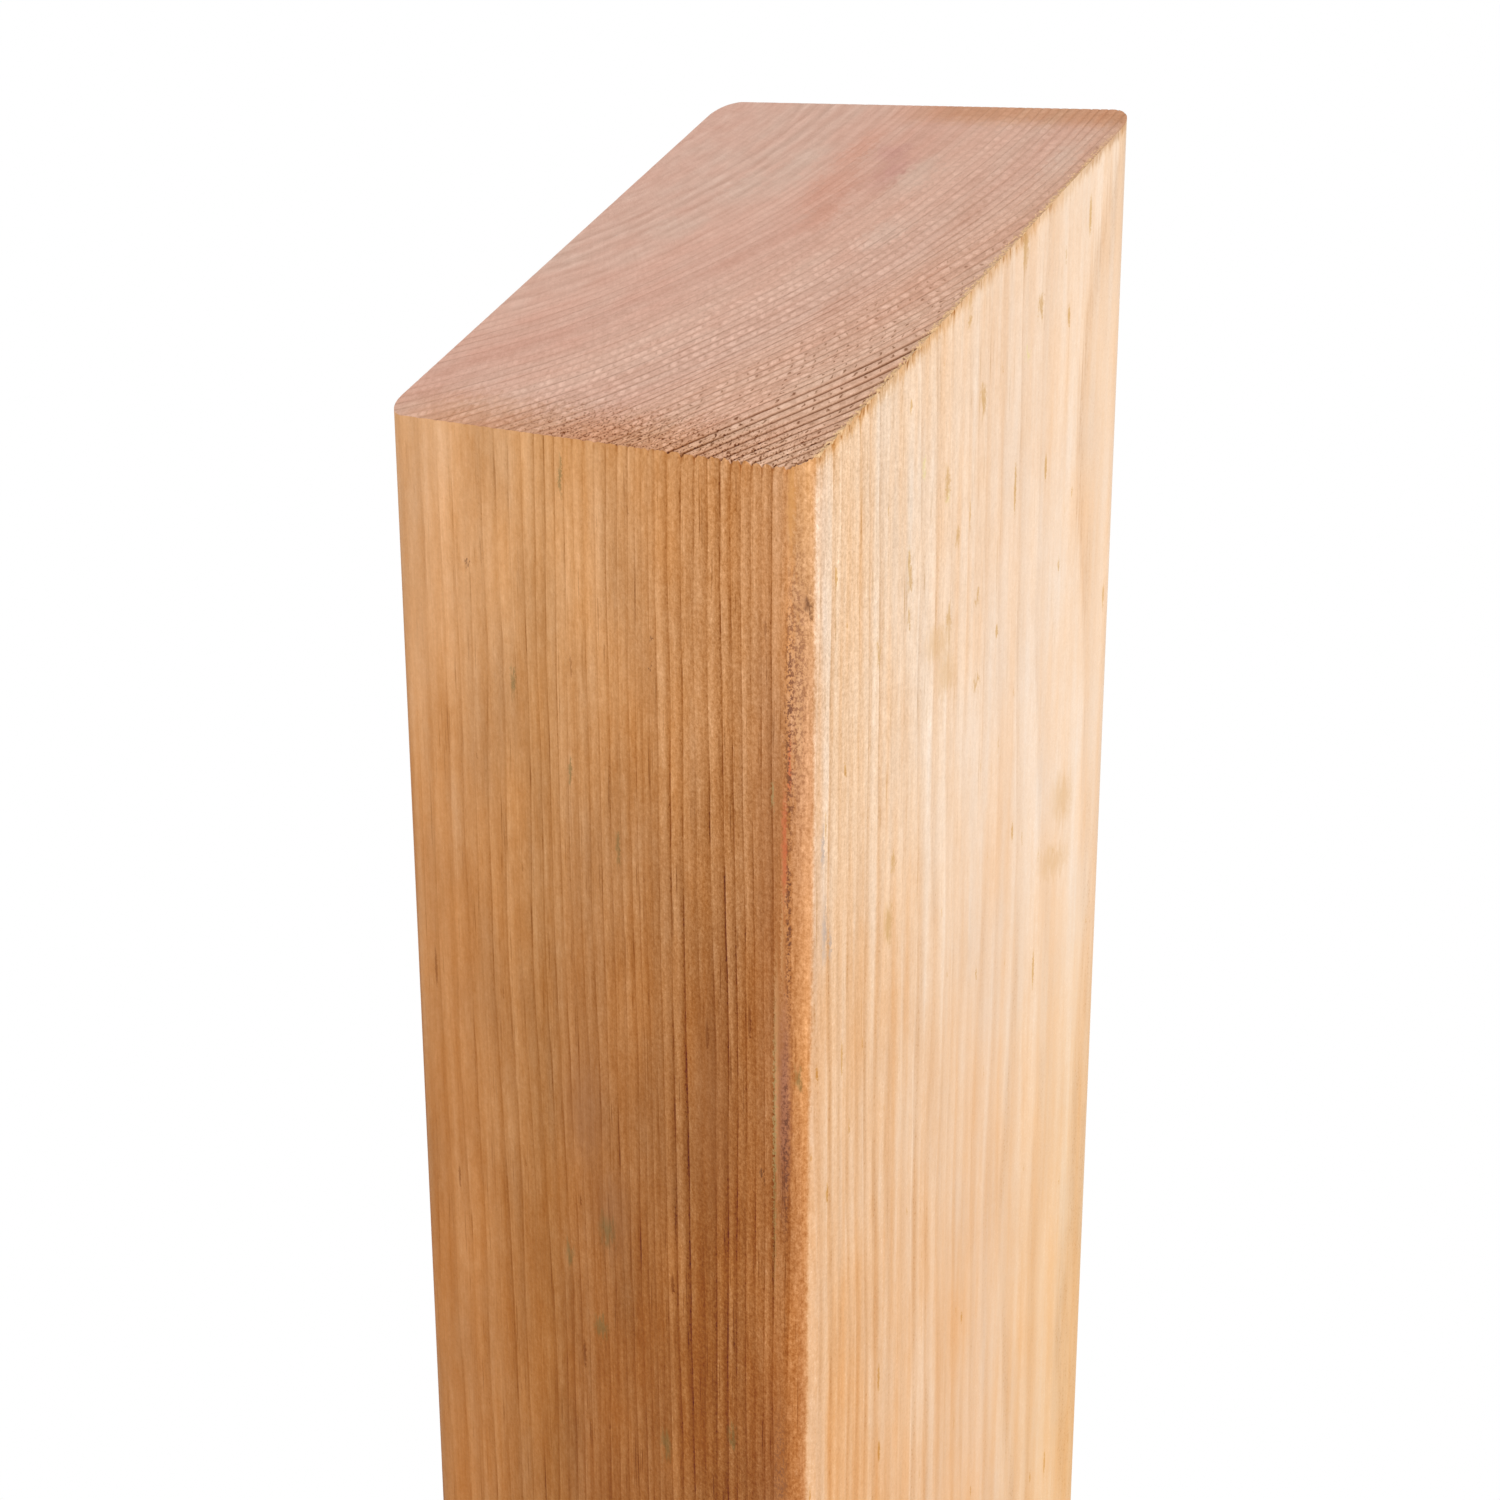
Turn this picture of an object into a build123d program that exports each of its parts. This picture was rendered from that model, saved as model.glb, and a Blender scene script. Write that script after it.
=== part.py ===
from build123d import *
import os

# Timber post, square in section, with one sloping cut across its top.
# Millimetres. Z runs up the post from the centre of its foot. X runs along the low
# edge of the sloping cut, and the cut rises towards +Y.

# The planed section
section_width = 95.0
section_depth = 95.0
arris_radius = 5.0

# Length up to the high edge of the cut, and how far the cut falls to its low edge
overall_length = 1800.0
top_fall = 51.0

os.makedirs("parts", exist_ok=True)

with BuildPart() as post:
    # Four flat sides with their long corners eased
    with BuildSketch(Plane.XY):
        RectangleRounded(section_width, section_depth, arris_radius)
    extrude(amount=overall_length)

    # Weathering cut: from the high edge at the back down to the low edge at the front
    high_edge = (0, section_depth / 2, overall_length)
    cut = Plane(origin=high_edge, x_dir=(1, 0, 0), z_dir=(0, -top_fall, section_depth))
    split(bisect_by=cut, keep=Keep.BOTTOM)

post.part.label = "post"
export_step(post.part, "parts/post.step")
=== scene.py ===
import math

import bmesh
import bpy
import numpy as np
from mathutils import Matrix, Vector


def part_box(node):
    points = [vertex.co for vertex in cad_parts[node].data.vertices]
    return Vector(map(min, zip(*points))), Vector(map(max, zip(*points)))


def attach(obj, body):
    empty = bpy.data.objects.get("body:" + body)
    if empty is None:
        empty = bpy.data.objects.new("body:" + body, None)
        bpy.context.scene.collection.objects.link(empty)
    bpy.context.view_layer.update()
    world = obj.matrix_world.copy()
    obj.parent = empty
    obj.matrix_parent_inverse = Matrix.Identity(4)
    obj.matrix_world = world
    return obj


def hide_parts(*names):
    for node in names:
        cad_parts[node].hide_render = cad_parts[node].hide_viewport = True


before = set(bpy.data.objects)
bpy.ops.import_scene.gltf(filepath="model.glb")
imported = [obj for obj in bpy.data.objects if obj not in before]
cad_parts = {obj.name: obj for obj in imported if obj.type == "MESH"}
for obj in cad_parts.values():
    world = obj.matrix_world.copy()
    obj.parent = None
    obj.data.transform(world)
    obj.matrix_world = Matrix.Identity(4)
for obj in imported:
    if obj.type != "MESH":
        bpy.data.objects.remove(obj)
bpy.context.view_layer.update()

# Metres. Z runs up the post from the centre of its foot, X along the low edge of the
# sloping cut, and the cut rises towards +Y. Surface patterns are worked out in millimetres.
MM = 0.001
_, high_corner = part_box("post")
HALF_SIDE = high_corner.x / MM
HIGH_EDGE = high_corner.z / MM
TOP_FALL = 51.0
LOW_EDGE = HIGH_EDGE - TOP_FALL
SLOPE = TOP_FALL / (2 * HALF_SIDE)
ARRIS = 5.0

# Growth rings stand round a pith that lies outside the section
PITH_X = -90.6
PITH_Y = 52.1
# Distance from the pith in millimetres, and how many rings lie within it
RINGS_COUNTED = [
    (40.0, 0.0), (62.5, 4.0), (85.5, 10.0), (109.0, 22.0), (128.4, 32.0), (133.9, 36.0),
    (142.5, 41.0), (146.9, 45.0), (157.5, 50.0), (165.0, 55.0), (171.0, 58.0),
]
# Distance from the pith, and how dark the late wood of the rings is there
LATE_WOOD = [
    (60.0, 0.05), (64.0, 0.40), (84.0, 0.40), (90.0, 0.22), (109.0, 0.34), (128.0, 0.40),
    (134.0, 0.50), (146.0, 0.50), (149.0, 1.00), (160.0, 0.95), (170.0, 0.60),
]
# Distance from the pith, and how deep the furrows of the cut are, in millimetres
FURROWS = [
    (60.0, 0.02), (110.0, 0.05), (128.0, 0.08), (146.0, 0.12), (149.0, 0.30), (165.0, 0.24),
]
# Beyond this distance the rings bulge towards the back right, by this share of the rest of the
# way, between these two angles round the pith
BULGE_START = 125.0
BULGE = 0.24
BULGE_TURN = (-0.74, -0.15)
# How the rings wander: millimetres either way, radians of a wave to each millimetre of X, Y
# and Z, and where the wave starts
RING_BENDS = [
    (0.55, (0.020, 0.034, 0.0125), 0.5),
    (0.30, (-0.062, 0.048, 0.0310), 2.1),
    (0.16, (0.110, 0.130, -0.0110), 4.0),
    (0.08, (0.420, -0.310, 0.0200), 1.2),
]
# Lengths along a ring are measured at this distance from the pith
ARC_RADIUS = 130.0

# Finishes are mixed as a screen shows them, and this power turns them into light
SCREEN_GAMMA = 2.2


def shade(red, green, blue):
    """A colour on the 0 to 255 scale of a screen. Finishes are mixed on that scale."""
    return (red / 255, green / 255, blue / 255, 1.0)


# Camera and studio

CAMERA_PLACE = Vector((271.3, -335.2, LOW_EDGE + 64.5)) * MM
# Degrees round Z, downwards, and round the line of sight
CAMERA_TURN = (39.24, 16.66, -0.17)
SENSOR = 36.0
LENS = 57.65
# Soft boxes: place, the point it is turned towards, side in metres, and power in watts
MIDDLE = (0.0, 0.0, 1.1)
HEAD = (0.0, 0.0, 1.75)
LAMPS = {
    "key": ((2.6, -0.7, 1.9), MIDDLE, 2.2, 50.0),
    "fill": ((-1.2, -2.8, 1.7), MIDDLE, 2.2, 9.0),
    "back": ((-1.9, 2.2, 1.8), MIDDLE, 2.2, 26.0),
    "head": ((0.15, -0.75, 2.35), HEAD, 0.5, 2.4),
}
# Strength of the white world, as light on the post and as the camera and reflections see it
WORLD_LIGHT = 0.52
WORLD_SEEN = 1.0
# The floor's colour as light falls on it, and as the camera sees it
FLOOR_RADIUS = 2.0
FLOOR_GREY = (0.75, 0.75, 0.75, 1)
FLOOR_SEEN = (1.35, 1.35, 1.35, 1)


def make_camera():
    """Stands to the front right, a little above the cut, and looks down on it."""
    data = bpy.data.cameras.new("camera")
    data.sensor_width = SENSOR
    data.lens = LENS
    data.clip_start = 0.01
    data.clip_end = 50.0
    camera = bpy.data.objects.new("camera", data)
    bpy.context.scene.collection.objects.link(camera)
    azimuth, pitch, roll = (math.radians(angle) for angle in CAMERA_TURN)
    camera.matrix_world = (
        Matrix.Translation(CAMERA_PLACE)
        @ Matrix.Rotation(azimuth, 4, "Z")
        @ Matrix.Rotation(math.pi / 2 - pitch, 4, "X")
        @ Matrix.Rotation(roll, 4, "Z")
    )
    bpy.context.scene.camera = camera


def add_lamp(name, place, target, size, power):
    """One square white soft box at place, turned towards target."""
    data = bpy.data.lights.new(name, "AREA")
    data.shape = "SQUARE"
    data.size = size
    data.energy = power
    lamp = bpy.data.objects.new(name, data)
    lamp.location = place
    direction = Vector(target) - Vector(place)
    lamp.rotation_euler = direction.to_track_quat("-Z", "Y").to_euler()
    bpy.context.scene.collection.objects.link(lamp)


def make_lamps():
    """A strong soft box on the right, weaker ones front left and back left, a small one above."""
    for name, (place, target, size, power) in LAMPS.items():
        add_lamp(name, place, target, size, power)


def make_world():
    """White to the eye and in reflections, and a soft even light on everything else."""
    world = bpy.data.worlds.new("studio")
    world.use_nodes = True
    bpy.context.scene.world = world
    tree = world.node_tree
    tree.nodes.clear()
    path = tree.nodes.new("ShaderNodeLightPath")
    seen = tree.nodes.new("ShaderNodeMath")
    seen.operation = "MAXIMUM"
    tree.links.new(path.outputs["Is Camera Ray"], seen.inputs[0])
    mirrored = tree.nodes.new("ShaderNodeMath")
    mirrored.operation = "MAXIMUM"
    tree.links.new(path.outputs["Is Glossy Ray"], mirrored.inputs[0])
    tree.links.new(path.outputs["Is Transmission Ray"], mirrored.inputs[1])
    tree.links.new(mirrored.outputs[0], seen.inputs[1])
    strength = tree.nodes.new("ShaderNodeMapRange")
    strength.inputs["To Min"].default_value = WORLD_LIGHT
    strength.inputs["To Max"].default_value = WORLD_SEEN
    tree.links.new(seen.outputs[0], strength.inputs["Value"])
    light = tree.nodes.new("ShaderNodeBackground")
    light.inputs["Color"].default_value = (1, 1, 1, 1)
    tree.links.new(strength.outputs[0], light.inputs["Strength"])
    out = tree.nodes.new("ShaderNodeOutputWorld")
    tree.links.new(light.outputs[0], out.inputs["Surface"])


def floor_finish():
    """Matt and pale, and white to the eye where it is lit, so that only the shadow shows."""
    material = bpy.data.materials.new("pale floor")
    material.use_nodes = True
    tree = material.node_tree
    tree.nodes.clear()
    path = tree.nodes.new("ShaderNodeLightPath")
    colour = tree.nodes.new("ShaderNodeMix")
    colour.data_type = "RGBA"
    colour.inputs[6].default_value = FLOOR_GREY
    colour.inputs[7].default_value = FLOOR_SEEN
    tree.links.new(path.outputs["Is Camera Ray"], colour.inputs[0])
    matt = tree.nodes.new("ShaderNodeBsdfDiffuse")
    tree.links.new(colour.outputs[2], matt.inputs["Color"])
    out = tree.nodes.new("ShaderNodeOutputMaterial")
    tree.links.new(matt.outputs[0], out.inputs["Surface"])
    return material


def make_floor():
    """A pale round floor under the foot."""
    bm = bmesh.new()
    bmesh.ops.create_circle(bm, cap_ends=True, segments=128, radius=FLOOR_RADIUS)
    mesh = bpy.data.meshes.new("floor")
    bm.to_mesh(mesh)
    bm.free()
    floor = bpy.data.objects.new("floor", mesh)
    bpy.context.scene.collection.objects.link(floor)
    mesh.materials.append(floor_finish())


# Growth rings, as numbers for the mesh


def smooth_step(value, low, high):
    """Eases from 0 to 1 as value goes from low to high."""
    share = np.clip((value - low) / (high - low), 0, 1)
    return share * share * (3 - 2 * share)


def by_radius(radius, table):
    """Reads a table of (distance from the pith, value) pairs, in straight lines between them."""
    distances, values = zip(*table)
    return np.interp(radius, distances, values)


def ring_distance(x, y, z):
    """Distance from the pith, evened out so that every ring has one value of it all round."""
    radius = np.hypot(x - PITH_X, y - PITH_Y)
    turn = smooth_step(np.arctan2(y - PITH_Y, x - PITH_X), *BULGE_TURN)
    radius = radius - BULGE * np.maximum(radius - BULGE_START, 0) * turn
    for sway, rate, start in RING_BENDS:
        radius = radius + sway * np.sin(x * rate[0] + y * rate[1] + z * rate[2] + start)
    return radius


# The timber's mesh

# Cells along each side of the cut, and how much they crowd towards its low right corner
CELLS = 236
CROWDING = 0.18
# Rows of points down the sides, in millimetres: the first one, the growth, and the longest one
FIRST_ROW = 0.4
ROW_GROWTH = 1.24
LONGEST_ROW = 110.0
# How far torn fibres stand up or break away along the two front rims, in millimetres
TORN_UP = 0.42
TORN_DOWN = 0.55
TORN_OUT = 0.28
TORN_REACH = 1.5
# Torn fibres to a millimetre of the rim, and the seed of their sizes
TORN_COUNT = 2.2
TORN_SEED = 11
# More rings than the section has, so that each has its own random value
RINGS_HELD = 80
# On the sides late wood lies this far inside the CAD's surface, and the rest up to this much
# deeper
INSET = 0.01
RIDGE = 0.02
# Each of these rises between two distances from a ring's dark edge, in rings and counted down
FURROW_RISE = (-0.20, -0.02)
RIDGE_RISE = (-0.40, -0.05)
NICK_RISE = (-0.24, -0.04)
# A share of 1 is told from a smaller one by this much
CLOSE = 1e-6


def row_depths():
    """Shares of the length, from the cut to the foot, at which the sides have a row of points."""
    depth, step = 0.0, FIRST_ROW
    depths = []
    while depth + 1.5 * step < HIGH_EDGE:
        depth += step
        depths.append(depth / HIGH_EDGE)
        step = min(step * ROW_GROWTH, LONGEST_ROW)
    return depths + [1.0]


def timber_blank():
    """A block one unit high: a fine grid on top, its rim drawn down in rows, and a foot."""
    bm = bmesh.new()
    bmesh.ops.create_grid(bm, x_segments=CELLS, y_segments=CELLS, size=1.0)
    bmesh.ops.translate(bm, verts=bm.verts, vec=(0, 0, 1))
    rim = [edge for edge in bm.edges if edge.is_boundary]
    cut_edge = list(rim)
    above = 0.0
    for below in row_depths():
        grown = bmesh.ops.extrude_edge_only(bm, edges=rim)["geom"]
        points = [item for item in grown if isinstance(item, bmesh.types.BMVert)]
        held = set(points)
        rim = [item for item in grown if isinstance(item, bmesh.types.BMEdge)
               and item.verts[0] in held and item.verts[1] in held]
        bmesh.ops.translate(bm, verts=points, vec=(0, 0, above - below))
        above = below
    foot = bmesh.ops.contextual_create(bm, geom=rim)["faces"]
    bmesh.ops.recalc_face_normals(bm, faces=bm.faces)
    for edge in cut_edge + rim:
        edge.smooth = False
    for face in bm.faces:
        face.smooth = True
        face.material_index = 0 if abs(face.normal.z) > 0.5 else 1
    for face in foot:
        face.smooth = False
    return bm


def ease_corners(u, v):
    """Turns the square -1 to 1 grid into the section, with its four corners drawn into arcs."""
    flat = HALF_SIDE - ARRIS
    x, y = u * HALF_SIDE, v * HALF_SIDE
    over_x = np.clip((np.abs(x) - flat) / ARRIS, 0, 1)
    over_y = np.clip((np.abs(y) - flat) / ARRIS, 0, 1)
    corner = (over_x > 0) & (over_y > 0)
    round_x = flat + ARRIS * over_x * np.sqrt(1 - over_y**2 / 2)
    round_y = flat + ARRIS * over_y * np.sqrt(1 - over_x**2 / 2)
    x = np.where(corner, np.sign(x) * round_x, x)
    y = np.where(corner, np.sign(y) * round_y, y)
    return x, y


def crowd(share):
    """Draws the points of the grid closer together towards its low right corner."""
    return share + CROWDING * (1 - share**2)


def torn_rim(x, y, rings):
    """How far fibres are lifted (tuft) and broken away (nick) at each point, from 0 to 1."""
    chance = np.random.default_rng(TORN_SEED)
    around = np.round((x + y + HALF_SIDE) * TORN_COUNT).astype(int)
    around = around - around.min()
    height = chance.uniform(0, 1, around.max() + 1)[around]
    depth = chance.uniform(0, 1, around.max() + 1)[around]
    ring = np.round(rings).astype(int)
    broken = chance.uniform(0, 1, RINGS_HELD)[ring]

    # Only the two front rims are torn, and most of all near the low right corner
    front = smooth_step(x - y, 0, 10)
    near = 0.08 + 0.92 * smooth_step(x - y, 30, 90)
    nick = smooth_step(-np.abs(rings - ring), *NICK_RISE) * broken * (0.5 + 0.5 * depth)
    return height**2 * front * near * (1 - nick), nick * front * near


def timber_places(u, v, share):
    """Where the points of the blank go, in millimetres, with the rings and fibres raised."""
    rim = np.maximum(np.abs(u), np.abs(v)) > 1 - CLOSE
    on_cut = share > 1 - CLOSE
    x, y = ease_corners(crowd(u), -crowd(-v))
    cut_height = LOW_EDGE + (y + HALF_SIDE) * SLOPE
    z = cut_height * share

    # Furrows where the dark edge of each ring crosses the cut
    radius = ring_distance(x, y, z)
    rings = by_radius(radius, RINGS_COUNTED)
    from_edge = np.abs(rings - np.round(rings))
    furrow = smooth_step(-from_edge, *FURROW_RISE)
    z = z - np.where(on_cut, furrow * by_radius(radius, FURROWS), 0)

    # Along the sides the late wood stands a little proud of the rest
    ridge = smooth_step(-from_edge, *RIDGE_RISE)
    proud = (ridge - 1) * RIDGE * by_radius(radius, LATE_WOOD) - INSET
    proud = np.where(rim, proud, 0)
    away = np.hypot(x, y)

    # Torn fibres along the low and right rims of the cut: tufts between the rings, nicks at them
    tuft, nick = torn_rim(x, y, rings)
    drop = cut_height - cut_height * share
    fading = np.where(rim, np.exp(-drop / TORN_REACH), 0)
    z = z + (tuft * TORN_UP - nick * TORN_DOWN) * fading
    proud = proud + (tuft - nick) * TORN_OUT * fading
    return np.column_stack([x * (1 + proud / away), y * (1 + proud / away), z])


def make_timber(materials):
    """The whole post as one closed piece."""
    bm = timber_blank()
    mesh = bpy.data.meshes.new("post_timber")
    bm.to_mesh(mesh)
    bm.free()
    places = np.empty(len(mesh.vertices) * 3)
    mesh.vertices.foreach_get("co", places)
    places = timber_places(*places.reshape(-1, 3).T)
    mesh.vertices.foreach_set("co", places.ravel() * MM)
    for material in materials:
        mesh.materials.append(material)
    mesh.update()
    timber = bpy.data.objects.new("post_timber", mesh)
    bpy.context.scene.collection.objects.link(timber)
    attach(timber, "root")
    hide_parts("post")


# Short calls for building a finish out of nodes

# Shares of a tone among red, green and blue: evenly, unless a call says otherwise
EVENLY = (1.0, 1.0, 1.0)
# A mark fades out between these shares of its half size
MARK_EDGE = (1.45, 0.15)
# A distance from a mark, in its half sizes, at which nothing of it shows
NO_MARK = 9.0
# How strongly the wood reflects
GLOSS = 0.25


class Finish:
    """The node tree of one finish. Values pass between its calls as sockets or plain numbers."""

    def __init__(self, name):
        self.material = bpy.data.materials.new(name)
        self.material.use_nodes = True
        self.tree = self.material.node_tree
        self.tree.nodes.clear()
        coordinates = self.tree.nodes.new("ShaderNodeTexCoord")
        self.place = self.vector("SCALE", coordinates.outputs["Object"], scale=1 / MM)
        self.x, self.y, self.z = self.split(self.place)
        self.below = self.take(LOW_EDGE, self.z)

    def plug(self, socket, value):
        """Joins an output to an input, or sets the input to a plain value."""
        if isinstance(value, bpy.types.NodeSocket):
            self.tree.links.new(value, socket)
        else:
            socket.default_value = value

    def math(self, operation, first, second=0.0, third=0.0):
        node = self.tree.nodes.new("ShaderNodeMath")
        node.operation = operation
        for socket, value in zip(node.inputs, (first, second, third)):
            self.plug(socket, value)
        return node.outputs[0]

    def add(self, first, second):
        return self.math("ADD", first, second)

    def take(self, first, second):
        return self.math("SUBTRACT", first, second)

    def times(self, *values):
        product = values[0]
        for value in values[1:]:
            product = self.math("MULTIPLY", product, value)
        return product

    def sum(self, *terms):
        """Adds up (value, how much of it) pairs. A pair that starts with 1.0 is a plain number."""
        total = 0.0
        for value, amount in terms:
            total = self.math("MULTIPLY_ADD", value, amount, total)
        return total

    def shifted(self, share, change, start=1.0):
        """Start, changed by change times share."""
        return self.math("MULTIPLY_ADD", share, change, start)

    def vector(self, operation, first, second=(0, 0, 0), scale=1.0):
        node = self.tree.nodes.new("ShaderNodeVectorMath")
        node.operation = operation
        self.plug(node.inputs[0], first)
        if operation == "SCALE":
            self.plug(node.inputs["Scale"], scale)
        elif operation != "LENGTH":
            self.plug(node.inputs[1], second)
        return node.outputs["Value" if operation in ("LENGTH", "DOT_PRODUCT") else "Vector"]

    def split(self, vector):
        node = self.tree.nodes.new("ShaderNodeSeparateXYZ")
        self.plug(node.inputs[0], vector)
        return node.outputs

    def join(self, x, y, z=0.0):
        node = self.tree.nodes.new("ShaderNodeCombineXYZ")
        for socket, value in zip(node.inputs, (x, y, z)):
            self.plug(socket, value)
        return node.outputs[0]

    def measured(self, vector, rates, start):
        """Each part of a vector times its rate, from its own start."""
        node = self.tree.nodes.new("ShaderNodeVectorMath")
        node.operation = "MULTIPLY_ADD"
        self.plug(node.inputs[0], vector)
        node.inputs[1].default_value = rates
        node.inputs[2].default_value = start
        return node.outputs[0]

    def stretch(self, x_rate, y_rate, z_rate, start=0.0):
        """The place in the post, counted in cells of a pattern per millimetre each way."""
        return self.measured(self.place, (x_rate, y_rate, z_rate), (start, start, start))

    def swing(self, vector, detail=2.0, roughness=0.5):
        """Noise that swings either way of 0, seldom further than 0.6."""
        node = self.tree.nodes.new("ShaderNodeTexNoise")
        self.plug(node.inputs["Vector"], vector)
        node.inputs["Scale"].default_value = 1.0
        node.inputs["Detail"].default_value = detail
        node.inputs["Roughness"].default_value = roughness
        return self.math("MULTIPLY_ADD", node.outputs[0], 2.0, -1.0)

    def cells(self, vector):
        """Distance to the nearest of the points scattered one to a cell."""
        node = self.tree.nodes.new("ShaderNodeTexVoronoi")
        self.plug(node.inputs["Vector"], vector)
        node.inputs["Scale"].default_value = 1.0
        return node.outputs["Distance"]

    def chance(self, first, second=0.0):
        """Three random values from 0 to 1 for each pair of whole numbers."""
        node = self.tree.nodes.new("ShaderNodeTexWhiteNoise")
        node.noise_dimensions = "2D"
        self.plug(node.inputs["Vector"], self.join(first, second))
        return self.split(node.outputs["Color"])

    def rise(self, value, low, high, start=0.0, end=1.0):
        """Eases from start to end as value goes from low to high."""
        node = self.tree.nodes.new("ShaderNodeMapRange")
        node.interpolation_type = "SMOOTHSTEP"
        self.plug(node.inputs["Value"], value)
        limits = (("From Min", low), ("From Max", high), ("To Min", start), ("To Max", end))
        for socket, limit in limits:
            self.plug(node.inputs[socket], limit)
        return node.outputs[0]

    def ramp(self, value, stops):
        """A colour ramp through (position from 0 to 1, colour) stops."""
        node = self.tree.nodes.new("ShaderNodeValToRGB")
        self.plug(node.inputs[0], value)
        elements = node.color_ramp.elements
        while len(elements) < len(stops):
            elements.new(0.5)
        for element, (position, colour) in zip(elements, stops):
            element.position = position
            element.color = colour
        return node.outputs[0]

    def colours(self, value, table):
        """A colour read from a table of (value, (red, green, blue)) pairs, blended between them."""
        first, last = table[0][0], table[-1][0]
        reach = last - first
        stops = [((stop - first) / reach, shade(*colour)) for stop, colour in table]
        return self.ramp(self.math("MULTIPLY_ADD", value, 1 / reach, -first / reach), stops)

    def read(self, value, table):
        """Reads a table of pairs of numbers, in straight lines between them."""
        first, last = table[0][0], table[-1][0]
        reach = last - first
        peak = max(height for _, height in table)
        node = self.tree.nodes.new("ShaderNodeMapRange")
        self.plug(node.inputs["Value"], value)
        node.inputs["From Min"].default_value = first
        node.inputs["From Max"].default_value = last
        heights = [((stop - first) / reach, height / peak) for stop, height in table]
        stops = [(position, (height, height, height, 1)) for position, height in heights]
        return self.times(self.ramp(node.outputs[0], stops), peak)

    def tone(self, colour, amount, axis=EVENLY):
        """Shifts a colour by that much on the 0 to 255 scale, in the channels as axis shares it."""
        shift = self.vector("SCALE", axis, scale=self.times(amount, 1 / 255))
        return self.vector("ADD", colour, shift)

    def mix(self, share, under, over):
        node = self.tree.nodes.new("ShaderNodeMix")
        node.data_type = "RGBA"
        self.plug(node.inputs[0], share)
        self.plug(node.inputs[6], under)
        self.plug(node.inputs[7], over)
        return node.outputs[2]

    def between(self, share, first, second):
        """An axis for tone that goes from first to second."""
        return self.mix(share, (*first, 1.0), (*second, 1.0))

    def marks(self, colour, flat_place, marks, shown=1.0):
        """Lays soft ovals over a colour: (red, green, blue), strength, places and half sizes."""
        for tint, strength, ovals in marks:
            nearest = NO_MARK
            for across, down, half_width, half_height in ovals:
                rates = (1 / half_width, 1 / half_height, 0)
                start = (-across / half_width, -down / half_height, 0)
                reach = self.vector("LENGTH", self.measured(flat_place, rates, start))
                nearest = self.math("MINIMUM", reach, nearest)
            share = self.rise(nearest, *MARK_EDGE, 0.0, strength)
            colour = self.mix(self.times(share, shown), colour, shade(*tint))
        return colour

    def rings(self):
        """The growth rings as the mesh has them: distance, count and millimetres round the pith."""
        across, along = self.take(self.x, PITH_X), self.take(self.y, PITH_Y)
        radius = self.vector("LENGTH", self.join(across, along))
        angle = self.math("ARCTAN2", along, across)
        beyond = self.math("MAXIMUM", self.take(radius, BULGE_START), 0.0)
        radius = self.take(radius, self.times(beyond, self.rise(angle, *BULGE_TURN), BULGE))
        for sway, rate, start in RING_BENDS:
            turn = self.add(self.vector("DOT_PRODUCT", self.place, rate), start)
            radius = self.add(radius, self.times(self.math("SINE", turn), sway))
        count = self.read(radius, RINGS_COUNTED)
        return radius, count, self.times(angle, ARC_RADIUS)

    def surface(self, colour, roughness, height, depth):
        """Ends the tree: a matt wood shader with a bump of that depth in millimetres."""
        bump = self.tree.nodes.new("ShaderNodeBump")
        bump.inputs["Distance"].default_value = depth * MM
        self.plug(bump.inputs["Height"], height)
        linear = self.tree.nodes.new("ShaderNodeGamma")
        self.plug(linear.inputs["Color"], colour)
        linear.inputs["Gamma"].default_value = SCREEN_GAMMA
        shader = self.tree.nodes.new("ShaderNodeBsdfPrincipled")
        self.plug(shader.inputs["Base Color"], linear.outputs[0])
        self.plug(shader.inputs["Roughness"], roughness)
        shader.inputs["Specular IOR Level"].default_value = GLOSS
        self.plug(shader.inputs["Normal"], bump.outputs[0])
        out = self.tree.nodes.new("ShaderNodeOutputMaterial")
        self.tree.links.new(shader.outputs[0], out.inputs["Surface"])
        return self.material


# End grain

# Distance from the pith, and the colour of the cut there
CUT_COLOURS = [
    (48.0, (225, 181, 162)), (70.0, (222, 182, 163)), (88.0, (224, 178, 158)),
    (99.0, (218, 170, 150)), (112.0, (221, 177, 156)), (128.0, (220, 176, 155)),
    (135.0, (217, 171, 147)), (145.0, (218, 173, 148)), (152.0, (212, 167, 140)),
    (171.0, (218, 174, 146)),
]
# Stains on the cut: colour, strength, then X, Y and the two half sizes in millimetres
CUT_STAINS = [
    ((214, 150, 126), 0.45, [(-1.0, 22.0, 5.0, 7.0), (3.0, 14.0, 4.0, 5.0), (-3.0, 32.0, 3.0, 9.0)]),
    ((198, 142, 132), 0.45, [(9.0, 28.0, 3.0, 6.0), (5.0, 33.0, 4.0, 3.0)]),
    ((220, 192, 174), 0.45, [(-20.0, 21.0, 4.0, 6.0), (-13.0, 26.0, 4.0, 9.0), (20.0, 10.0, 4.0, 5.0)]),
    ((218, 192, 174), 0.35, [(15.0, 26.0, 4.0, 6.0), (-26.0, 8.0, 6.0, 4.0), (42.0, 32.0, 3.0, 7.0)]),
    ((200, 150, 126), 0.35, [(24.0, -8.0, 3.0, 6.0), (33.0, 16.0, 3.0, 8.0), (36.0, 4.0, 2.5, 5.0)]),
]
# The stains show above these heights, so not on the foot
STAINED_FROM = (1600.0, 1700.0)
# Millimetres from one pale dab to the next along a ring
DAB_PITCH = 1.78
# Distance from the pith, and how clearly the pale dabs of the cut stand out
DABS = [
    (92.0, 0.10), (108.0, 0.30), (116.0, 0.70), (127.0, 0.80), (129.0, 0.25), (133.0, 0.45),
    (134.5, 1.00), (145.0, 0.85), (170.0, 0.75),
]
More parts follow.
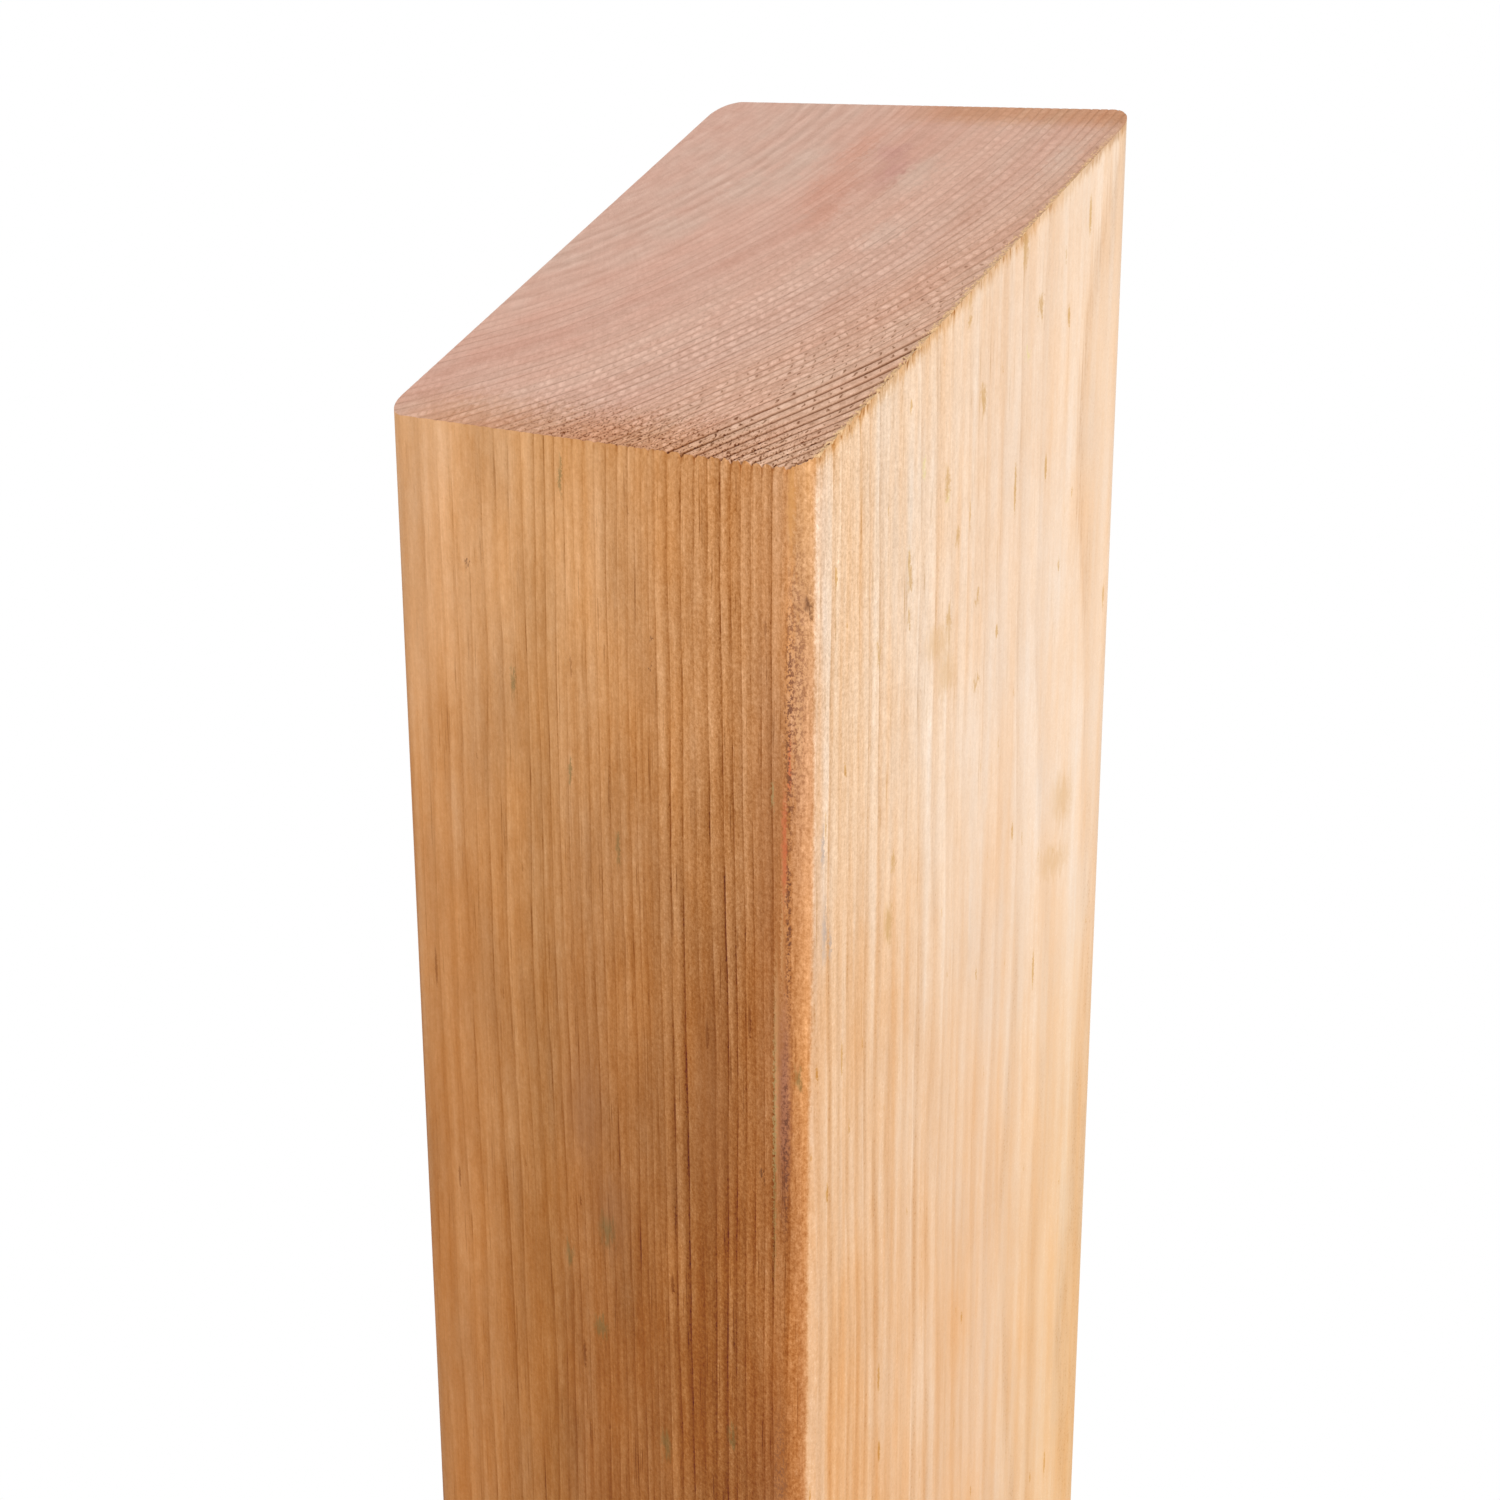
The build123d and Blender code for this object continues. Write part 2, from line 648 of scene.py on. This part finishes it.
# Distances from the pith at which rings turn from soft bands into lines, and into furrows
LINES_FROM = (84.0, 92.0)
FURROWS_FROM = (142.0, 151.0)
# How a colour shifts as it turns rosier, or as it weathers to ochre
ROSY = (0.5, -0.35, -0.45)
OCHRE = (-0.35, -0.65, -1.0)
FRINGE_GOLD = shade(219, 178, 128)[:3]


class CutRings:
    """The rings of the cut, and the noises that its patterns share. They swing round 0."""

    def __init__(self, f):
        self.radius, count, self.arc = f.rings()
        self.fine = f.swing(f.stretch(0.9, 0.9, 0.3))
        self.cloud = self.noise(f, 0.07, 0.20, 0.01)
        self.banded = self.noise(f, 0.13, 0.75, 0.01)
        waviness = f.rise(self.radius, 135.0, 150.0, 0.14, 0.03)
        count = f.sum((count, 1.0), (self.fine, 0.05), (self.banded, waviness))
        self.phase = f.math("FRACT", count)
        self.ring = f.math("FLOOR", count)
        self.luck = f.chance(self.ring)
        self.from_middle = f.math("ABSOLUTE", f.take(self.phase, 0.5))
        self.outer = f.rise(self.radius, *LINES_FROM)
        self.inner = f.take(1.0, self.outer)
        self.outmost = f.rise(self.radius, *FURROWS_FROM)
        self.nearness = f.rise(f.math("MULTIPLY_ADD", f.x, -0.15, f.y), 20.0, -42.0, 0.5, 1.0)

    def noise(self, f, arc_rate, radius_rate, z_rate):
        """Noise counted in cells per millimetre along the rings, across them and down the post."""
        along, across = f.times(self.arc, arc_rate), f.times(self.radius, radius_rate)
        return f.swing(f.join(along, across, f.times(f.z, z_rate)))


def cut_ground(f, r):
    """Ground colour of the cut, with rosy and pale clouds and a few stains."""
    rosiness = f.sum((r.cloud, 9.0), (r.banded, -2.0))
    colour = f.tone(f.colours(r.radius, CUT_COLOURS), rosiness, ROSY)
    wander = f.vector("SCALE", f.join(r.fine, r.cloud), scale=4.0)
    flat_place = f.vector("ADD", f.join(f.x, f.y), wander)
    return f.marks(colour, flat_place, CUT_STAINS, f.rise(f.z, *STAINED_FROM))


def cut_late_wood(f, r):
    """Late wood of the cut: broad soft bands near the pith, thin dark lines further out."""
    weight = f.times(f.rise(r.luck[0], 0.0, 1.0, 0.15, 1.1), f.rise(r.banded, -0.25, 0.25, 0.5, 1.2))
    far_out = f.times(f.math("MAXIMUM", weight, r.outmost), r.nearness)
    near_pith = f.times(r.inner, f.rise(r.luck[2], 0.0, 1.0, 0.1, 1.1))
    edge = f.times(f.read(r.radius, LATE_WOOD), f.math("MAXIMUM", far_out, near_pith))
    band = f.times(f.take(f.rise(r.from_middle, 0.08, 0.46), 0.42), r.inner, edge)
    line = f.times(f.rise(r.from_middle, 0.30, 0.47), r.outer, edge)
    return band, line


def cut_dabs(f, r):
    """Pale dabs, one row to a ring, and a dark tick beside some of them."""
    step = f.sum((r.arc, 1 / DAB_PITCH), (r.ring, 0.37), (r.fine, 0.35), (r.cloud, 1.0))
    luck = f.chance(r.ring, f.math("FLOOR", step))
    sideways = f.sum((f.math("FRACT", step), 1.0), (luck[0], 0.34), (1.0, -0.67))
    upwards = f.sum((r.phase, 1.0), (luck[2], 0.16), (1.0, -0.58))
    oval = f.vector("LENGTH", f.join(f.times(sideways, 2.3), f.times(upwards, 2.7)))
    shown = f.read(r.radius, DABS)
    dab = f.times(f.rise(oval, 1.12, 0.50), f.rise(luck[1], 0.0, 0.85, 0.05, 1.15), shown)
    dab = f.times(dab, f.rise(f.y, 30.0, -20.0, 0.55, 1.0))
    slanted = f.sum((sideways, 1.0), (upwards, 0.5), (1.0, -0.42))
    beside = f.rise(f.math("ABSOLUTE", slanted), 0.15, 0.04)
    tick = f.times(beside, f.rise(r.from_middle, 0.24, 0.08), f.rise(luck[2], 0.40, 0.60), shown)
    return dab, f.times(tick, f.rise(r.radius, 128.0, 152.0, 0.22, 1.0), r.nearness)


def cut_rims(f, r, colour, speckle):
    """Weathered rims: brown along the low edge, ochre along the back, torn on the right."""
    low_rim = f.times(
        f.rise(f.math("MULTIPLY_ADD", r.fine, 3.0, f.y), -37.0, -48.0),
        f.rise(f.x, -47.0, -30.0, 0.2, 1.0),
        f.rise(f.x, 10.0, 40.0, 1.0, 0.25),
    )
    holes = f.times(
        f.rise(speckle, -0.10, -0.30),
        f.rise(f.y, -36.0, -44.0),
        f.rise(f.x, -24.0, 0.0),
    )
    back_rim = f.times(
        f.rise(f.math("MULTIPLY_ADD", r.fine, 1.5, f.y), 40.5, 45.5),
        f.rise(f.x, -8.0, 14.0),
    )
    right_rim = f.rise(f.math("MULTIPLY_ADD", r.fine, 2.0, f.x), 41.0, 47.0)
    colour = f.tone(colour, f.sum((low_rim, 32.0), (back_rim, 33.0)), OCHRE)
    colour = f.tone(colour, f.sum((holes, -75.0), (right_rim, -7.0)))
    ragged = f.sum((f.x, 1.0), (speckle, 2.6), (r.fine, 1.0))
    fringe = f.times(f.rise(ragged, 46.4, 47.2), f.rise(f.y, 46.0, 30.0))
    golden_fibre = f.tone(FRINGE_GOLD, f.times(speckle, 70.0))
    return f.mix(f.times(fringe, 0.85), colour, golden_fibre)


def end_grain():
    """The sawn cut and the foot: ring edges as dark furrows, rows of pale dabs, resin holes."""
    f = Finish("sawn end grain")
    r = CutRings(f)
    band, line = cut_late_wood(f, r)
    dab, tick = cut_dabs(f, r)

    # Fine rays across the rings and a speckle of cut fibres
    ray = r.noise(f, 1.1, 0.12, 0.1)
    speckle = f.swing(f.stretch(2.6, 2.6, 0.8), 2.0, 0.6)
    sharp = f.rise(f.take(f.x, f.y), -60.0, 90.0, 4.0, 20.0)
    light = f.sum((band, -36.0), (line, -62.0), (f.take(dab, 0.22), 20.0), (tick, -95.0))
    mottle = f.sum(
        (ray, 6.0), (r.banded, 11.0), (r.cloud, -5.0), (f.times(r.banded, r.inner), 6.0),
        (r.fine, sharp), (r.luck[1], f.times(r.outer, 6.0)), (r.outmost, 4.0),
    )
    # Darker still along the ring lines where the furrows run deep: painted shade in the furrows
    furrow_shade = f.times(line, r.outmost, -14.0)
    light = f.sum((speckle, f.times(sharp, 1.35)), (mottle, 1.0), (light, 1.0), (furrow_shade, 1.0))
    colour = cut_rims(f, r, f.tone(cut_ground(f, r), light), speckle)

    height = f.sum((speckle, 0.25), (line, -0.8))
    return f.surface(colour, 0.85, height, 0.22)


# Long grain

# Marks on the two front sides: colour, strength, then for each mark the millimetres from the
# middle of the low side towards and round the front corner, the millimetres below the low
# edge of the cut, and the two half sizes
SIDE_MARKS = [
    ((172, 112, 76), 0.18, [(41.0, 66.0, 4.5, 50.0), (41.5, 185.0, 4.5, 30.0)]),
    ((150, 100, 66), 0.35, [(-2.0, 122.0, 6.0, 12.0), (4.0, 140.0, 5.0, 9.0), (28.0, 112.0, 5.0, 26.0)]),
    ((112, 98, 56), 0.50, [
        (-4.5, 7.0, 0.5, 3.0), (-17.0, 44.0, 0.6, 2.2), (-3.8, 58.0, 0.5, 1.8),
        (2.5, 144.0, 2.0, 2.6), (-7.0, 152.0, 1.0, 2.0), (16.0, 183.0, 1.3, 2.6),
        (7.0, 70.0, 0.5, 2.6), (0.5, 164.5, 1.8, 1.8), (31.7, 175.0, 1.2, 1.4),
        (46.6, 102.0, 0.8, 2.6),
    ]),
    ((86, 50, 28), 0.70, [
        (-27.5, 25.0, 0.5, 0.5), (15.5, 31.0, 0.4, 0.4), (38.6, 122.0, 0.5, 0.6),
        (15.0, 36.5, 0.3, 0.5), (48.6, 21.5, 0.9, 2.2),
    ]),
    ((204, 143, 82), 0.75, [(44.8, 5.0, 0.9, 9.0)]),
    ((222, 170, 122), 0.45, [(43.0, 76.0, 0.3, 13.0), (41.8, 100.0, 0.5, 24.0), (46.6, 41.0, 0.8, 9.0)]),
    ((146, 92, 78), 0.55, [(43.6, 108.0, 1.5, 19.0)]),
    ((212, 104, 66), 0.60, [(43.5, 62.0, 0.6, 10.0), (44.6, 48.0, 0.4, 5.0)]),
    ((176, 160, 112), 0.60, [(41.4, 115.0, 0.3, 26.0), (41.0, 54.0, 0.3, 2.4)]),
    ((196, 152, 96), 0.65, [
        (107.5, -29.4, 0.9, 3.5), (112.8, -19.4, 0.8, 2.2), (95.8, -5.6, 0.9, 2.8),
        (91.4, -19.4, 0.6, 2.0), (85.8, 7.8, 0.7, 2.6), (89.2, 16.7, 0.6, 1.5),
        (95.3, 28.9, 0.8, 0.6), (75.6, 22.0, 0.6, 1.4), (75.4, 28.8, 0.5, 1.4),
        (67.0, 32.5, 0.6, 1.6), (95.8, 43.9, 1.1, 1.3), (72.0, 70.0, 0.6, 2.0),
        (70.8, 81.0, 1.2, 3.5), (87.0, 31.0, 0.8, 2.2),
    ]),
    ((214, 172, 124), 0.50, [
        (84.2, 34.4, 4.0, 3.0), (86.5, 40.0, 3.0, 4.0), (125.3, 72.0, 3.5, 5.0),
        (123.0, 84.0, 5.0, 3.0),
    ]),
    ((222, 208, 134), 0.50, [(109.2, -11.7, 0.9, 0.8), (86.0, 10.0, 0.5, 1.0), (79.0, 4.0, 0.5, 1.5)]),
    ((172, 156, 148), 0.60, [(53.0, 77.0, 0.7, 5.0), (54.6, 80.0, 0.3, 3.6), (52.4, 62.0, 0.4, 4.0)]),
]
# Marks that break up into dots
DOTTED_MARKS = [
    ((104, 62, 44), 0.80, [(44.4, 42.0, 1.0, 20.0), (44.2, 74.0, 0.6, 20.0), (43.6, 114.0, 0.9, 17.0)]),
    ((140, 92, 66), 0.60, [(46.0, 34.0, 2.4, 22.0), (42.6, 178.0, 1.6, 12.0)]),
]
# Colours of the rubbed front corner, by the distance below the low edge of the cut
CORNER_COLOURS = [
    (0.0, (200, 146, 96)), (14.0, (185, 135, 91)), (26.0, (186, 135, 94)), (52.0, (190, 135, 95)),
    (75.0, (196, 136, 88)), (100.0, (192, 128, 74)), (160.0, (168, 107, 60)),
]
# Ground colours: by X on the low side and by Y on the right side, near the cut and deep below it. The
# pale cream of the right side is partly painted key light and sheen, and the brown of the low side
# partly painted shade; the rest is the wood's own two tones
BROWN_NEAR = [
    (-34.0, (226, 170, 120)), (-8.0, (213, 156, 103)), (18.0, (212, 151, 97)),
    (42.0, (207, 146, 95)),
]
BROWN_DEEP = [
    (-34.0, (188, 124, 69)), (-12.0, (176, 115, 60)), (-4.0, (163, 102, 51)),
    (28.0, (157, 94, 40)), (42.0, (172, 107, 55)),
]
CREAM_NEAR = [
    (-45.5, (219, 182, 151)), (-40.0, (231, 198, 166)), (8.0, (234, 203, 175)),
    (43.0, (237, 204, 173)),
]
CREAM_DEEP = [
    (-45.5, (210, 160, 116)), (-40.5, (220, 170, 124)), (8.0, (226, 183, 144)),
    (43.0, (230, 185, 136)),
]
# How far the ground has deepened, by the distance below the low edge of the cut: painted shade, standing
# in for light that falls off down the post
BROWN_DEEPENS = [
    (0.0, 0.0), (20.0, 0.06), (45.0, 0.20), (80.0, 0.52), (115.0, 0.77), (150.0, 0.90),
    (190.0, 1.0),
]
CREAM_DEEPENS = [(20.0, 0.0), (50.0, 0.06), (90.0, 0.55), (130.0, 0.86), (175.0, 1.0)]
# How strongly the fine grain shows from the left corner round the front corner to the right one
GRAIN_SHOWS = [
    (-47.0, 9.0), (-10.0, 16.0), (14.0, 28.0), (30.0, 52.0), (52.0, 48.0), (75.0, 24.0),
    (95.0, 11.0), (140.0, 5.0),
]
# How clearly the ring edges show along the same way round
LINES_SHOW = [
    (-47.0, 0.95), (14.0, 1.1), (26.0, 1.05), (40.0, 1.3), (54.0, 0.75), (70.0, 0.42),
    (95.0, 0.34), (125.0, 0.75),
]
# How clearly the wider bands show along the same way round
BANDS_SHOW = [
    (-47.0, 1.0), (48.0, 1.1), (52.0, 1.45), (80.0, 1.25), (110.0, 0.85), (142.0, 0.8),
]
# How clearly the fine fibres show along the same way round
FIBRES_SHOW = [
    (-47.0, 0.40), (-10.0, 0.75), (50.0, 0.85), (75.0, 0.70), (100.0, 0.36), (140.0, 0.15),
]
# How a colour shifts as it turns more golden, and as bands and lines darken the cream side
GOLDEN = (0.3, -0.2, -0.7)
TAN = (0.45, 1.0, 1.5)
FAINT_TAN = (0.8, 1.05, 1.25)
# How dark strokes and flecks, and the painted shade in nicks and gaps, shift the brown and the cream
# side
STROKE_ON_BROWN = (1.0, 0.9, 0.8)
STROKE_ON_CREAM = (0.7, 0.9, 1.2)
FLECK_ON_BROWN = (0.95, 0.85, 0.7)
FLECK_ON_CREAM = (0.6, 0.85, 1.4)
NICK_SHADE_SHIFT = (0.8, 0.95, 1.0)
GAP_SHADE_SHIFT = (0.75, 0.95, 1.1)
# How the painted highlight at the turn of the front corner shifts a colour
PAINTED_HIGHLIGHT_SHIFT = (1.0, 0.9, 0.75)
# The cream, partly painted key light, starts this far round, near the cut and further down
CREAM_NEAR_START = 49.8
CREAM_DEEP_START = 48.7
# Flecks to a millimetre across and down the sides, at the most
FLECKS_ACROSS = 0.21
FLECKS_DOWN = 0.045


class SideNoise:
    """The way round the sides, and the noises and dots that their patterns share."""

    def __init__(self, f):
        self.around = f.add(f.add(f.x, f.y), HALF_SIDE)
        self.thin = f.swing(f.stretch(2.4, 2.4, 0.06, 7.0), 1.0, 0.6)
        self.fibre = f.swing(f.stretch(1.5, 1.5, 0.30, 2.0), 2.0, 0.6)
        self.grain = f.swing(f.stretch(1.6, 1.6, 1.3), 2.0, 0.85)
        self.mottle = f.swing(f.stretch(0.6, 0.6, 0.35, 9.0), 2.0, 0.75)
        self.patch = f.swing(f.stretch(0.09, 0.09, 0.035, 3.0), 1.0)
        self.blush = f.swing(f.stretch(0.16, 0.16, 0.04, 5.0), 1.0)
        self.streak = f.swing(f.stretch(0.45, 0.45, 0.018))
        self.run = f.swing(f.stretch(0.6, 0.6, 0.055, 11.0), 2.0, 0.6)
        self.drift = f.swing(f.stretch(0.10, 0.10, 0.016, 13.0), 1.0)
        self.dot = f.rise(f.cells(f.stretch(1.7, 1.7, 1.1)), 0.34, 0.16)


def lit_cream_share(f, n):
    """1 on the cream right side, 0 on the brown low side, and in between on the hidden sides. The cream
    is partly painted light, for the key light on the right side, and the brown partly painted shade.
    """
    turning = f.rise(f.below, 60.0, 140.0, CREAM_NEAR_START, CREAM_DEEP_START)
    past = f.take(f.sum((n.around, 1.0), (n.fibre, 0.4), (n.grain, 0.5)), turning)
    hidden = f.rise(f.take(f.y, f.x), -4.0, 50.0)
    right = f.times(f.rise(past, -0.9, 0.9), f.take(1.0, f.times(hidden, 0.65)))
    return f.math("MAXIMUM", right, f.times(hidden, 0.35))


def side_ground(f, right):
    """Ground colour by place: paler near the cut, deeper and redder further down, the deepening painted
    shade for light that falls off down the post. The cream and brown sides are partly painted light and
    shade too.
    """
    depth = f.math("MULTIPLY_ADD", f.math("ABSOLUTE", f.x), 0.6, f.below)
    deep = f.read(depth, BROWN_DEEPENS)
    brown = f.mix(deep, f.colours(f.x, BROWN_NEAR), f.colours(f.x, BROWN_DEEP))
    deep = f.read(f.sum((f.y, -0.5), (1.0, -20.0), (f.below, 1.0)), CREAM_DEEPENS)
    cream = f.mix(deep, f.colours(f.y, CREAM_NEAR), f.colours(f.y, CREAM_DEEP))
    return f.mix(right, brown, cream)


def side_late_wood(f, n, radius, phase, luck, lower_right):
    """Late wood darkens outwards through each ring and ends in a thin core that comes and goes."""
    force = f.times(
        f.read(radius, LATE_WOOD),
        f.rise(luck[0], 0.0, 1.0, 0.5, 1.1),
        f.read(n.around, LINES_SHOW),
        f.rise(f.sum((n.run, 1.0), (n.streak, 0.4), (n.mottle, 0.3)), -0.38, 0.38, 0.32, 1.5),
    )
    ended = f.rise(phase, 1.0, f.shifted(lower_right, -0.20, 0.94))
    swelling = f.rise(phase, 0.25, f.shifted(lower_right, -0.20, 0.92))
    soft = f.times(f.take(f.times(swelling, ended), 0.33), f.shifted(lower_right, 0.55))
    dashes = f.rise(n.fibre, -0.20, 0.20, 0.25, 1.0)
    core = f.take(f.times(f.rise(phase, 0.78, 0.93), ended, dashes), 0.06)
    core = f.times(core, f.shifted(lower_right, -0.85))
    return f.times(f.sum((soft, -26.0), (core, -28.0), (f.times(n.dot, soft), -30.0)), force)


def side_grain(f, n, lower_right):
    """How much fibres and fine grain lighten or darken each place."""
    narrow = f.sum((n.fibre, 16.0), (n.thin, 15.0), (n.mottle, 17.0))
    narrow = f.times(narrow, f.read(n.around, FIBRES_SHOW))
    grainy = f.math("MULTIPLY_ADD", n.grain, f.read(n.around, GRAIN_SHOWS), narrow)
    return f.times(grainy, f.shifted(lower_right, -0.6))


def side_strokes(f, n, colour, right, lower_right):
    """Sparse dark fibres, as thin strokes."""
    stroke = f.times(
        f.rise(n.thin, -0.24, -0.40),
        f.rise(n.run, -0.02, 0.20),
        f.read(n.around, FIBRES_SHOW),
        f.shifted(lower_right, -0.8),
    )
    axis = f.between(right, STROKE_ON_BROWN, STROKE_ON_CREAM)
    return f.tone(colour, f.times(stroke, -42.0), axis)


def side_flecks(f, n, colour, right):
    """Short flecks, one or none to each tall cell of the surface."""
    across, down = f.times(n.around, FLECKS_ACROSS), f.times(f.below, FLECKS_DOWN)
    luck = f.chance(f.math("FLOOR", across), f.math("FLOOR", down))
    aside = f.sum((f.math("FRACT", across), 1.0), (luck[0], -0.7), (n.grain, 0.09), (1.0, -0.15))
    along = f.sum((f.math("FRACT", down), 1.0), (luck[1], -0.7), (n.grain, 0.09), (1.0, -0.15))
    size = f.math("FRACT", f.times(luck[2], 29.0))
    length = f.rise(f.math("FRACT", f.times(luck[2], 173.0)), 0.0, 1.0, 5.0, 20.0)
    reach = f.vector("LENGTH", f.join(f.times(aside, 15.0), f.times(along, length)))
    fleck = f.rise(f.times(reach, f.rise(size, 0.0, 1.0, 0.7, 2.4)), 1.1, 0.5)
    chosen = f.math("GREATER_THAN", luck[2], f.shifted(right, -0.16, 0.86))
    fleck = f.times(fleck, chosen, f.rise(size, 0.0, 1.0, 1.0, 0.4))
    axis = f.between(right, FLECK_ON_BROWN, FLECK_ON_CREAM)
    return f.tone(colour, f.times(fleck, -38.0), axis)


def rubbed_and_highlit_corner(f, n, colour, right, front, grainy):
    """The front corner: a worn band just before the turn, and a painted highlight, lighter and more
    golden, at the turn itself where the key light catches the rounding.
    """
    lower = f.rise(f.below, 75.0, 125.0)
    started = f.sum((n.around, 1.0), (n.fibre, 2.5), (n.grain, 0.8), (lower, -2.4))
    corner = f.times(f.rise(started, 43.6, 46.2), f.take(1.0, right), front)
    rubbed_and_highlit = f.colours(f.math("MULTIPLY_ADD", n.fibre, 12.0, f.below), CORNER_COLOURS)
    rubbed_and_highlit = f.tone(rubbed_and_highlit, f.sum((grainy, 1.0), (n.fibre, 10.0)))
    # Painted highlight: lighter and more golden where the corner turns towards the key light
    rubbed_and_highlit = f.tone(rubbed_and_highlit, f.rise(n.around, 46.6, 48.6, 0.0, 17.0), PAINTED_HIGHLIGHT_SHIFT)
    return f.mix(f.times(corner, 0.85), colour, rubbed_and_highlit)


def side_marks(f, n, colour, front):
    """The stains, scratches and dotted marks of both front sides."""
    wander = f.join(f.times(n.grain, 1.1), f.times(n.fibre, 5.0))
    flat_place = f.vector("ADD", f.join(n.around, f.below), wander)
    colour = f.marks(colour, flat_place, SIDE_MARKS, front)
    dotted = f.math("MAXIMUM", n.dot, f.rise(n.grain, 0.02, -0.20))
    return f.marks(colour, flat_place, DOTTED_MARKS, f.times(front, dotted))


def torn_edge(f, n, colour, right, phase, luck):
    """Just under the cut: golden torn fibre on the right, painted shade in the gaps between its fibres,
    and painted shade in the nicks at the ring edges.
    """
    drop = f.add(f.below, f.times(f.add(f.y, HALF_SIDE), SLOPE))
    ragged = f.sum((drop, 1.0), (n.fibre, 2.0))
    gold = f.times(f.rise(ragged, 3.0, 0.2), right, f.rise(f.y, 45.0, -20.0, 18.0, 34.0))
    colour = f.tone(colour, gold, OCHRE)
    # Gaps where the torn fibres split apart, darkened as painted shade
    split = f.rise(f.sum((n.thin, 1.0), (n.grain, 0.4)), 0.06, 0.36)
    gap_shade = f.times(f.rise(ragged, 1.8, 0.1), split, right)
    colour = f.tone(colour, f.times(gap_shade, f.rise(f.y, 45.0, -10.0, -20.0, -60.0)), GAP_SHADE_SHIFT)
    # Nicks where the ring edges break away at the rim, darkened as painted shade
    at_edge = f.rise(f.math("ABSOLUTE", f.take(phase, 0.5)), 0.28, 0.44)
    nick = f.times(f.rise(ragged, 1.8, 0.2), at_edge, f.rise(luck[1], 0.0, 1.0, 0.1, 1.0))
    return f.tone(colour, f.times(nick, f.rise(n.around, -20.0, 30.0), -52.0), NICK_SHADE_SHIFT)


def long_grain():
    """The planed sides: ring edges as long dark lines, fibre streaks, flecks and stains."""
    f = Finish("planed long grain")
    radius, count, _ = f.rings()
    n = SideNoise(f)
    wander = f.times(n.drift, f.rise(f.below, 0.0, 50.0, 0.0, 0.5))
    ringed = f.sum((count, 1.0), (n.thin, 0.08), (wander, 1.0))
    phase = f.math("FRACT", ringed)
    luck = f.chance(f.math("FLOOR", ringed))
    # The cream right side is partly painted key light and the brown low side partly painted shade
    right = lit_cream_share(f, n)
    lower_right = f.times(right, f.rise(f.below, 20.0, 120.0))
    front = f.rise(f.take(f.x, f.y), 1.0, 3.0)

    # Patches, rings and fibres lighten or darken the ground, and turn it more golden or pink
    ring_tone = f.take(luck[2], 0.5)
    wide = f.sum((n.patch, f.shifted(right, -9.0, 18.0)), (n.streak, 14.0), (ring_tone, 9.0))
    wide = f.times(wide, f.read(n.around, BANDS_SHOW))
    lines = side_late_wood(f, n, radius, phase, luck, lower_right)
    grainy = side_grain(f, n, lower_right)
    hue = f.sum((n.blush, 14.0), (n.streak, -7.0), (n.mottle, -6.0))
    colour = side_ground(f, right)
    colour = f.tone(colour, wide, f.between(right, EVENLY, TAN))
    colour = f.tone(colour, lines, f.between(right, EVENLY, FAINT_TAN))
    colour = f.tone(colour, hue, GOLDEN)
    colour = f.tone(colour, grainy)

    colour = side_strokes(f, n, colour, right, lower_right)
    colour = side_flecks(f, n, colour, right)
    colour = rubbed_and_highlit_corner(f, n, colour, right, front, grainy)
    colour = side_marks(f, n, colour, front)
    colour = torn_edge(f, n, colour, right, phase, luck)
    return f.surface(colour, 0.7, n.grain, 0.06)


make_camera()
make_world()
make_lamps()
make_floor()
make_timber([end_grain(), long_grain()])

bpy.context.scene.view_settings.view_transform = "Standard"
